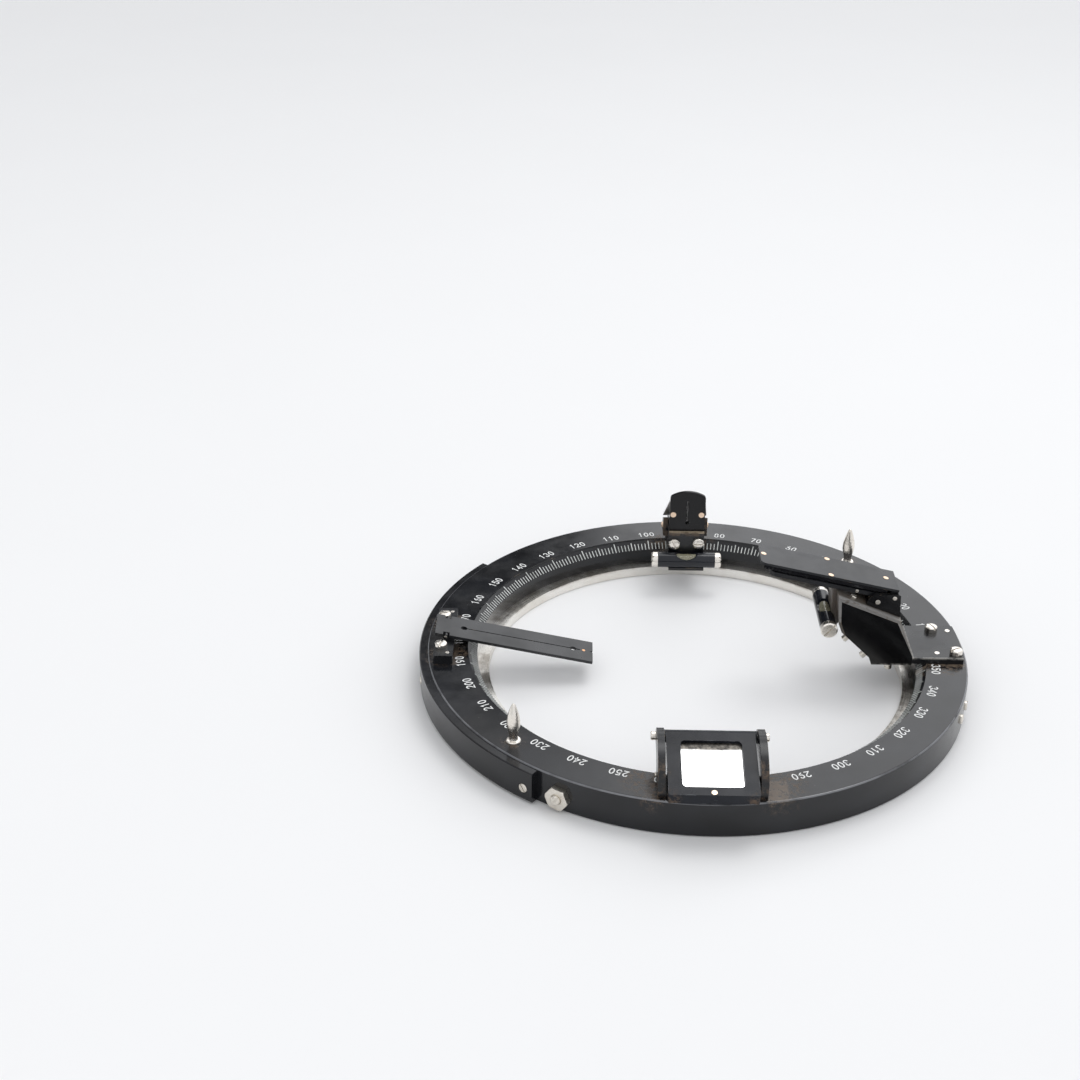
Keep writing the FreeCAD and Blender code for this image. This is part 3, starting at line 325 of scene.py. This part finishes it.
ring_stains = [
    (-28, -113, 17, 15), (29, -114, 17, 17), (-25, -124, 17, 9), (26, -124, 17, 9),
    (-122, -15, 17, 12), (-122, 15, 17, 12), (-116, -12, 17, 10), (118, -17, 17, 12), (106, -17, 15, 9),
    (-11, 108, 17, 12), (11, 108, 17, 8), (86, 86, 17, 7), (-86, -86, 17, 8)]
ring_patches = [
    (((23.2, 32.5), (-128, -112.5), (16.5, 17.2)), 0.7, DUST, 0.72),
    (((-29, -23.2), (-127, -113), (16.5, 17.2)), 1.5, EARTH, 0.62),
    (((-117.5, -114.6), (-23, 23), (16.5, 17.2)), 0.8, EARTH, 0.8),
    (((99, 128), (-17.4, -15), (11, 17.2)), 0.6, DUST, 0.7),
    (((-11, 11), (103.5, 112), (12, 17.2)), 1.5, EARTH, 0.5)]
# The ring's rim setting paints a highlight line along its rounded top outer edge
ring_paint = lacquer("ring_lacquer", rough=0.15, wear=0.2, dust=0.9, stains=ring_stains,
                     patches=ring_patches, rim=(129.4, 16.25))
paint = lacquer("sight_lacquer", wear=0.3, dust=0.3)
slit_paint = lacquer("slit_lacquer", dark=DEEP_BLACK, light=SOFT_BLACK, rough=0.24, wear=0.08, dust=0.1,
                     shine=0.3)
base_paint = lacquer("base_lacquer", patches=[
    (((100, 129), (-16, -14.2), (19.5, 20.2)), 0.5, WORN_AND_HIGHLIGHT_GREY, 0.62),
    (((102, 103.4), (-16, 16), (19.5, 20.2)), 0.3, WORN_AND_HIGHLIGHT_GREY, 0.7)])
ledge_paint = lacquer("ledge_lacquer", dust=0.2, patches=[
    (((-10, 10), (85, 89), (32.4, 33)), 0.15, (0.42, 0.34, 0.24), 0.85),
    (((-10, 10), (85, 87), (30.8, 33)), 0.5, EARTH, 0.6)])
cheek_paint = lacquer("cheek_lacquer", wear=0.7, dust=0.2, patches=[
    (((-12, 12), (97, 108), (23, 36)), 0.5, EARTH, 0.62)])
# The grey patch low on the side plates' outer face is a painted highlight line along their bottom edge
gloss = lacquer("gloss_lacquer", dark=(0.0022, 0.0023, 0.0028), light=(0.005, 0.005, 0.006), rough=0.15,
                wear=0.3, dust=0.1, patches=[(((60, 104), (-15.2, -14.9), (15.5, 16.6)), 0.3, WORN_AND_HIGHLIGHT_GREY, 0.55)])
ear_gloss = lacquer("vane_ear_lacquer", dark=DEEP_BLACK, light=SOFT_BLACK, rough=0.17, wear=0.55, dust=0.1)
# The pale grey edge colour paints thin highlight lines along the frame's and window's edges
frame_paint = lacquer("mirror_frame_lacquer", dark=(0.006, 0.0072, 0.0105), light=(0.012, 0.014, 0.02),
                      rough=0.24, wear=0.7, dust=1.1, edge=EDGE_HIGHLIGHT_GREY, shine=0.22,
                      stains=[(-18, -131, 20, 6), (18, -131, 20, 6), (-19, -121, 24, 4)])
ear_paint = lacquer("ear_lacquer", wear=0.65, dust=0.5,
                    stains=[(-22, -122, 29, 5), (22, -122, 29, 6), (-22, -124, 19, 6), (22, -124, 18, 7)])
vane_paint = lacquer("vane_lacquer", dark=(0.009, 0.0095, 0.011), light=(0.017, 0.018, 0.021), rough=0.3,
                     wear=0.22, dust=0.25)
# The pale grey patch along the top plate's near margin is painted light, the strip in front of the bracket ear
# lit from above; the brown stain is tarnish
tarnished = lacquer("tarnished_plate", dark=(0.085, 0.075, 0.066), light=(0.13, 0.115, 0.10), rough=0.36,
                    wear=0.8, dust=0.2, stains=[(75, 0, 47, 18)],
                    patches=[(((63, 97), (-15.8, -12.5), (39, 54)), 0.6, (0.22, 0.215, 0.21), 0.75)])
level_paint = lacquer("level_lacquer", dark=(0.006, 0.0075, 0.012), light=(0.011, 0.014, 0.021), rough=0.17,
                      wear=0.3, dust=0.2)
nickel = metal("nickel", (0.76, 0.72, 0.65), (0.50, 0.43, 0.35), 0.28, tarnish=0.4, grime=0.15, crown=0.3)
bright = metal("bright_nickel", (0.84, 0.80, 0.74), (0.62, 0.55, 0.46), 0.24, grime=0.0, crown=0.35)
brass = metal("brass_pin", (0.86, 0.66, 0.50), (0.58, 0.38, 0.24), 0.3, tarnish=0.4)
copper = metal("copper_dot", (0.72, 0.42, 0.24), (0.4, 0.2, 0.1), 0.4, tarnish=0.4)
polished = metal("polished_plate", (0.88, 0.88, 0.87), (0.70, 0.68, 0.64), 0.38, tarnish=0.2, grime=0.1)
band = band_metal()
figure_paint = mark_paint("white_fill", 650.0, 0.35, 0.7, 0.4, (0.86, 0.87, 0.86), (0.55, 0.56, 0.55))
tick_paint = mark_paint("tick_fill", 240.0, 0.3, 0.72, 1.0, (0.82, 0.84, 0.82), (0.42, 0.44, 0.42))
optical = glass("optical_glass", (0.97, 0.99, 0.98), 0.0)
spirit = glass("level_spirit", (0.93, 0.89, 0.66), 0.03, ior=1.4, through=0.75)
black_glass = dark_glass("black_glass")
plain_mirror = silvered("card_mirror_silver")

# The concave mirror is dull and dark in a band along the edge next to its pivots
MIRROR_DIP = math.radians(14.0)
MIRROR_PIVOT = Vector((0, -98.0, 29.5)) * MM
BAND_FROM, BAND_TO = -9.3 * MM, -6.9 * MM
mirror_axis = (0.0, math.cos(MIRROR_DIP), math.sin(MIRROR_DIP))
pivot_along = MIRROR_PIVOT.dot(Vector(mirror_axis))
banded_mirror = silvered("banded_mirror", (mirror_axis, pivot_along + BAND_FROM, pivot_along + BAND_TO))

dress = {
    ring_paint: ["ring_body", "counterweight"],
    band: ["seat_ring"],
    paint: ["peep_base", "prism_bracket", "card_mirror_tray", "housing_floor_plate"],
    slit_paint: ["slit_plate"],
    base_paint: ["far_base_plate"],
    ledge_paint: ["prism_level_bracket"],
    cheek_paint: ["prism_cheeks"],
    level_paint: ["prism_level_tube", "far_level_tube"],
    gloss: ["housing_side_far", "housing_side_near"],
    ear_gloss: ["vane_bracket"],
    frame_paint: ["mirror_frame", "mirror_back"],
    ear_paint: ["mirror_bracket"],
    vane_paint: ["peep_vane", "vane_frame", "reflector_back"],
    tarnished: ["housing_top_plate", "housing_front_plate", "housing_rear_plate", "far_level_saddle"],
    nickel: ["outer_wall_screws", "centring_screws", "lock_nuts", "peep_hinge_pin", "card_mirror_screws",
             "housing_screws", "vane_bracket_screws", "vane_pivot_pin", "vane_rest_pin", "wire_clamps",
             "sight_wire", "mirror_bracket_screws", "prism_bracket_screws"],
    bright: ["finger_lug_far", "finger_lug_near", "peep_base_screws", "base_dowels", "far_base_screws",
             "far_level_caps", "prism_level_caps", "prism_level_screws", "mirror_pivot_screws"],
    brass: ["reflector_pins", "slit_plate_pins", "prism_cheek_screws", "mirror_frame_pin"],
    copper: ["peep_vane_dot"],
    polished: ["prism_back_plate"],
    optical: ["prism_glass"],
    spirit: ["far_level_vial", "prism_level_vial"],
    black_glass: ["reflector_glass"],
    plain_mirror: ["card_mirror"],
    banded_mirror: ["concave_mirror"]}
for material, names in dress.items():
    for name in names:
        mesh = nodes[name].data
        mesh.materials.clear()
        mesh.materials.append(material)
missing = set(nodes) - {name for names in dress.values() for name in names}
if missing:
    raise ValueError("no material on " + ", ".join(sorted(missing)))

# Soft edges on the pieces cut from solid, by width in millimetres
edge_widths = {
    0.12: ["peep_vane"],
    0.15: ["reflector_back", "housing_side_near", "housing_side_far", "housing_top_plate", "vane_bracket",
           "lock_nuts", "vane_frame"],
    0.2: ["mirror_bracket", "peep_base", "slit_plate", "prism_bracket", "prism_level_bracket", "prism_cheeks",
          "prism_glass"],
    0.25: ["mirror_frame"],
    0.3: ["far_base_plate"]}
SHARP = math.radians(38)
for width, names in edge_widths.items():
    for name in names:
        soft = nodes[name].modifiers.new("soft_edges", "BEVEL")
        soft.width = width * MM
        soft.segments = 2
        soft.limit_method = "ANGLE"
        soft.angle_limit = SHARP


# Graduations and figures, in millimetres

# Radius and height of the bevel's inner and outer edge
BEVEL_IN = (106.0, 12.5)
BEVEL_OUT = (110.5, 16.0)
# The faceted bevel bulges past the true cone, so a tick stands this far below and above it
TICK_SUNK, TICK_PROUD = -0.06, 0.17
TICK_START = 0.04
FACE_Z = 17.0
FIGURE_R = 115.0
FIGURE_H = 3.75
FIGURE_GAP = 0.9
FIGURE_PROUD = 0.03
SQUEEZE = 0.95
STROKE = 0.29
DIGIT_W = 0.62


def new_piece(name, mesh, material):
    piece = bpy.data.objects.new(name, mesh)
    bpy.context.scene.collection.objects.link(piece)
    mesh.materials.append(material)
    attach(piece, "ring")


def on_bevel(part, lift):
    """Radius and height at a share of the way up the bevel, raised off it."""
    dr, dz = BEVEL_OUT[0] - BEVEL_IN[0], BEVEL_OUT[1] - BEVEL_IN[1]
    size = math.hypot(dr, dz)
    return (BEVEL_IN[0] + dr * part - dz / size * lift, BEVEL_IN[1] + dz * part + dr / size * lift)


def polar(radius, degrees, across, z):
    angle = math.radians(degrees)
    return (radius * math.cos(angle) - across * math.sin(angle),
            radius * math.sin(angle) + across * math.cos(angle), z)


def degree_ticks():
    """One mark a degree up the bevel, longer every five and ten."""
    verts, faces = [], []
    for degree in range(360):
        stop = 0.93 if degree % 10 == 0 else 0.80 if degree % 5 == 0 else 0.66
        half = 0.24 if degree % 5 == 0 else 0.2
        first = len(verts)
        for lift in (TICK_SUNK, TICK_PROUD):
            for part, side in ((TICK_START, -half), (TICK_START, half), (stop, half), (stop, -half)):
                radius, z = on_bevel(part, lift)
                verts.append(Vector(polar(radius, degree, side, z)) * MM)
        for quad in ((4, 5, 6, 7), (3, 2, 1, 0), (0, 1, 5, 4), (1, 2, 6, 5), (2, 3, 7, 6), (3, 0, 4, 7)):
            faces.append([first + k for k in quad])
    mesh = bpy.data.meshes.new("degree_ticks")
    mesh.from_pydata(verts, [], faces)
    mesh.validate()
    mesh.update()
    new_piece("degree_ticks", mesh, tick_paint)


def arc(cx, cy, rx, ry, start, stop, steps=10):
    angles = [math.radians(start + (stop - start) * k / steps) for k in range(steps + 1)]
    return [(cx + rx * math.cos(a), cy + ry * math.sin(a)) for a in angles]


# Strokes of each digit in a box DIGIT_W wide and 1 high
DIGITS = {
    "0": [arc(0.31, 0.5, 0.27, 0.5, 90, 450, 22)],
    "1": [[(0.16, 0.8), (0.34, 1.0), (0.34, 0.0)]],
    "2": [arc(0.31, 0.72, 0.26, 0.28, 165, -35, 12) + [(0.04, 0.0), (0.6, 0.0)]],
    "3": [arc(0.30, 0.75, 0.24, 0.25, 160, -90, 12), arc(0.30, 0.26, 0.27, 0.26, 90, -160, 14)],
    "4": [[(0.45, 0.0), (0.45, 1.0), (0.02, 0.28), (0.62, 0.28)]],
    "5": [[(0.55, 1.0), (0.13, 1.0), (0.08, 0.55)] + arc(0.30, 0.33, 0.27, 0.32, 125, -155, 14)],
    "6": [arc(0.31, 0.3, 0.26, 0.3, 90, 450, 18), arc(0.60, 0.32, 0.55, 0.68, 183, 107, 8)],
    "7": [[(0.04, 1.0), (0.58, 1.0), (0.22, 0.0)]],
    "8": [arc(0.31, 0.76, 0.22, 0.24, 90, 450, 16), arc(0.31, 0.26, 0.26, 0.27, 90, 450, 18)],
    "9": [arc(0.31, 0.7, 0.26, 0.3, 90, 450, 18), arc(0.02, 0.68, 0.55, 0.68, 3, -73, 8)]}


def outline(points):
    """Left and right side of a line of even width, and whether it closes on itself."""
    left, right = [], []
    closed = math.dist(points[0], points[-1]) < 1e-6
    last = len(points) - 1
    for k, (x, y) in enumerate(points):
        before = points[k - 1] if k else (points[-2] if closed else None)
        after = points[k + 1] if k < last else (points[1] if closed else None)
        ways = []
        if before:
            ways.append(Vector((x - before[0], y - before[1])).normalized())
        if after:
            ways.append(Vector((after[0] - x, after[1] - y)).normalized())
        way = sum(ways, Vector((0.0, 0.0))).normalized()
        reach = STROKE / max(0.5, way.dot(ways[0]))
        left.append((x - way.y * reach, y + way.x * reach))
        right.append((x + way.y * reach, y - way.x * reach))
    return left, right, closed


def draw_stroke(made, points, degree):
    """Adds one painted line with round ends to the mesh, as a thin slab on the dial face."""
    top, low = FACE_Z + FIGURE_PROUD, FACE_Z - FIGURE_PROUD

    def lay(point, z):
        return made.verts.new(Vector(polar(FIGURE_R + point[1], degree, -point[0], z)) * MM)

    left, right, closed = outline(points)
    pairs = list(zip(left, right))
    if closed:
        pairs.pop()
    rows = [(lay(a, top), lay(b, top), lay(b, low), lay(a, low)) for a, b in pairs]
    if closed:
        rows.append(rows[0])
    for one, two in zip(rows, rows[1:]):
        for k in range(4):
            made.faces.new((one[k], one[(k + 1) % 4], two[(k + 1) % 4], two[k]))
    if closed:
        return
    for end, inner in ((points[0], points[1]), (points[-1], points[-2])):
        start = math.atan2(end[1] - inner[1], end[0] - inner[0]) - math.pi / 2
        rim = [(end[0] + STROKE * math.cos(start + math.pi * k / 6),
                end[1] + STROKE * math.sin(start + math.pi * k / 6)) for k in range(7)]
        cap_top = [lay(point, top) for point in rim]
        cap_low = [lay(point, low) for point in rim]
        made.faces.new(cap_top)
        made.faces.new(cap_low[::-1])
        for k in range(7):
            made.faces.new((cap_top[k], cap_low[k], cap_low[(k + 1) % 7], cap_top[(k + 1) % 7]))


def degree_figures():
    """Figures every ten degrees, tops outward, cut and filled with paint."""
    made = bmesh.new()
    width = DIGIT_W * FIGURE_H * SQUEEZE
    for degree in range(0, 360, 10):
        text = str(degree)
        total = len(text) * width + (len(text) - 1) * FIGURE_GAP
        for place, digit in enumerate(text):
            left = -total / 2 + place * (width + FIGURE_GAP)
            for line in DIGITS[digit]:
                points = [(left + x * FIGURE_H * SQUEEZE, (y - 0.5) * FIGURE_H) for x, y in line]
                draw_stroke(made, points, degree)
    bmesh.ops.recalc_face_normals(made, faces=made.faces)
    mesh = bpy.data.meshes.new("degree_figures")
    made.to_mesh(mesh)
    made.free()
    new_piece("degree_figures", mesh, figure_paint)


degree_ticks()
degree_figures()

# Stage
table = Shader("table")
table.set(Base_Color=table.mix(table.noise(6.0, 2.0), (0.87, 0.87, 0.872), (0.885, 0.885, 0.887)),
          Roughness=0.7, Specular_IOR_Level=0.2)
bpy.ops.mesh.primitive_plane_add(size=8.0, location=(0, 0, -0.0002))
floor = bpy.context.object
floor.name = "table"
floor.data.materials.append(table.mat)


def lamp(name, where, size, power):
    """Round soft lamp aimed at the middle of the ring."""
    data = bpy.data.lights.new(name, "AREA")
    data.shape = "DISK"
    data.size = size
    data.energy = power
    lit = bpy.data.objects.new(name, data)
    bpy.context.scene.collection.objects.link(lit)
    lit.location = where
    lit.rotation_euler = (-Vector(where)).to_track_quat("-Z", "Y").to_euler()


lamp("key", (0.35, 0.45, 1.5), 0.8, 5.0)
lamp("fill", (-0.9, -0.9, 1.1), 1.4, 2.5)


# World: pale, with a bright window behind at +Y, a dimmer left side and a dark patch low behind on the left
world = bpy.data.worlds.new("studio")
bpy.context.scene.world = world
world.use_nodes = True
tree = world.node_tree
tree.nodes.clear()
out = tree.nodes.new("ShaderNodeOutputWorld")
back = tree.nodes.new("ShaderNodeBackground")
tree.links.new(back.outputs[0], out.inputs[0])
coords = tree.nodes.new("ShaderNodeTexCoord")
split = tree.nodes.new("ShaderNodeSeparateXYZ")
tree.links.new(coords.outputs["Generated"], split.inputs[0])
east, north, high = split.outputs
WALL_GREY = (0.93, 0.94, 0.96, 1.0)
BACKGROUND = (0.88, 0.885, 0.9, 1.0)
WINDOW_GAIN = 1.1
LEFT_LEVEL = 0.6
DARK_COVER = 0.97


def world_step(socket, low, high, to_low, to_high):
    node = tree.nodes.new("ShaderNodeMapRange")
    node.interpolation_type = "SMOOTHSTEP"
    for target, value in zip(node.inputs[1:5], (low, high, to_low, to_high)):
        target.default_value = value
    tree.links.new(socket, node.inputs[0])
    return node.outputs[0]


def world_math(op, a, b):
    node = tree.nodes.new("ShaderNodeMath")
    node.operation = op
    for socket, value in zip(node.inputs, (a, b)):
        if isinstance(value, bpy.types.NodeSocket):
            tree.links.new(value, socket)
        else:
            socket.default_value = value
    return node.outputs[0]


def world_product(first, *others):
    for socket in others:
        first = world_math("MULTIPLY", first, socket)
    return first


window = world_product(world_step(north, 0.3, 0.8, 0.0, WINDOW_GAIN), world_step(high, 0.2, 0.42, 0.0, 1.0),
                       world_step(high, 0.6, 0.85, 1.0, 0.0))
level = world_math("ADD", window, world_step(east, -0.75, 0.25, LEFT_LEVEL, 1.0))
dark = world_product(world_step(east, 0.04, 0.0, 0.0, 1.0), world_step(east, -0.75, -0.55, 0.0, 1.0),
                     world_step(high, 0.60, 0.54, 0.0, 1.0), world_step(high, 0.0, 0.1, 0.0, 1.0),
                     world_step(north, 0.2, 0.4, 0.0, DARK_COVER))
shade = tree.nodes.new("ShaderNodeMix")
shade.data_type = "RGBA"
shade.clamp_factor = False
shade.inputs[6].default_value = (0.0, 0.0, 0.0, 1.0)
shade.inputs[7].default_value = WALL_GREY
tree.links.new(world_product(level, world_math("SUBTRACT", 1.0, dark)), shade.inputs[0])
pick = tree.nodes.new("ShaderNodeMix")
pick.data_type = "RGBA"
path = tree.nodes.new("ShaderNodeLightPath")
tree.links.new(path.outputs["Is Camera Ray"], pick.inputs[0])
tree.links.new(shade.outputs[2], pick.inputs[6])
pick.inputs[7].default_value = BACKGROUND
tree.links.new(pick.outputs[2], back.inputs[0])
back.inputs[1].default_value = 1.0

# Camera, looking down on the ring from the near side
camera_data = bpy.data.cameras.new("camera")
camera_data.lens = 57.06
camera_data.sensor_width = 36.0
camera_data.clip_start = 0.01
camera = bpy.data.objects.new("camera", camera_data)
bpy.context.scene.collection.objects.link(camera)
CAMERA_AT = Vector((-0.06388, -0.71463, 0.45080))
RIGHT = Vector((0.999769, 0.020387, 0.006748))
UP = Vector((-0.015498, 0.467464, 0.883876))
AHEAD = Vector((-0.014866, 0.883777, -0.467672))
turn = Matrix((RIGHT, UP, -AHEAD)).transposed().to_4x4()
camera.matrix_world = Matrix.Translation(CAMERA_AT) @ turn
bpy.context.scene.camera = camera
bpy.context.scene.view_settings.view_transform = "Standard"
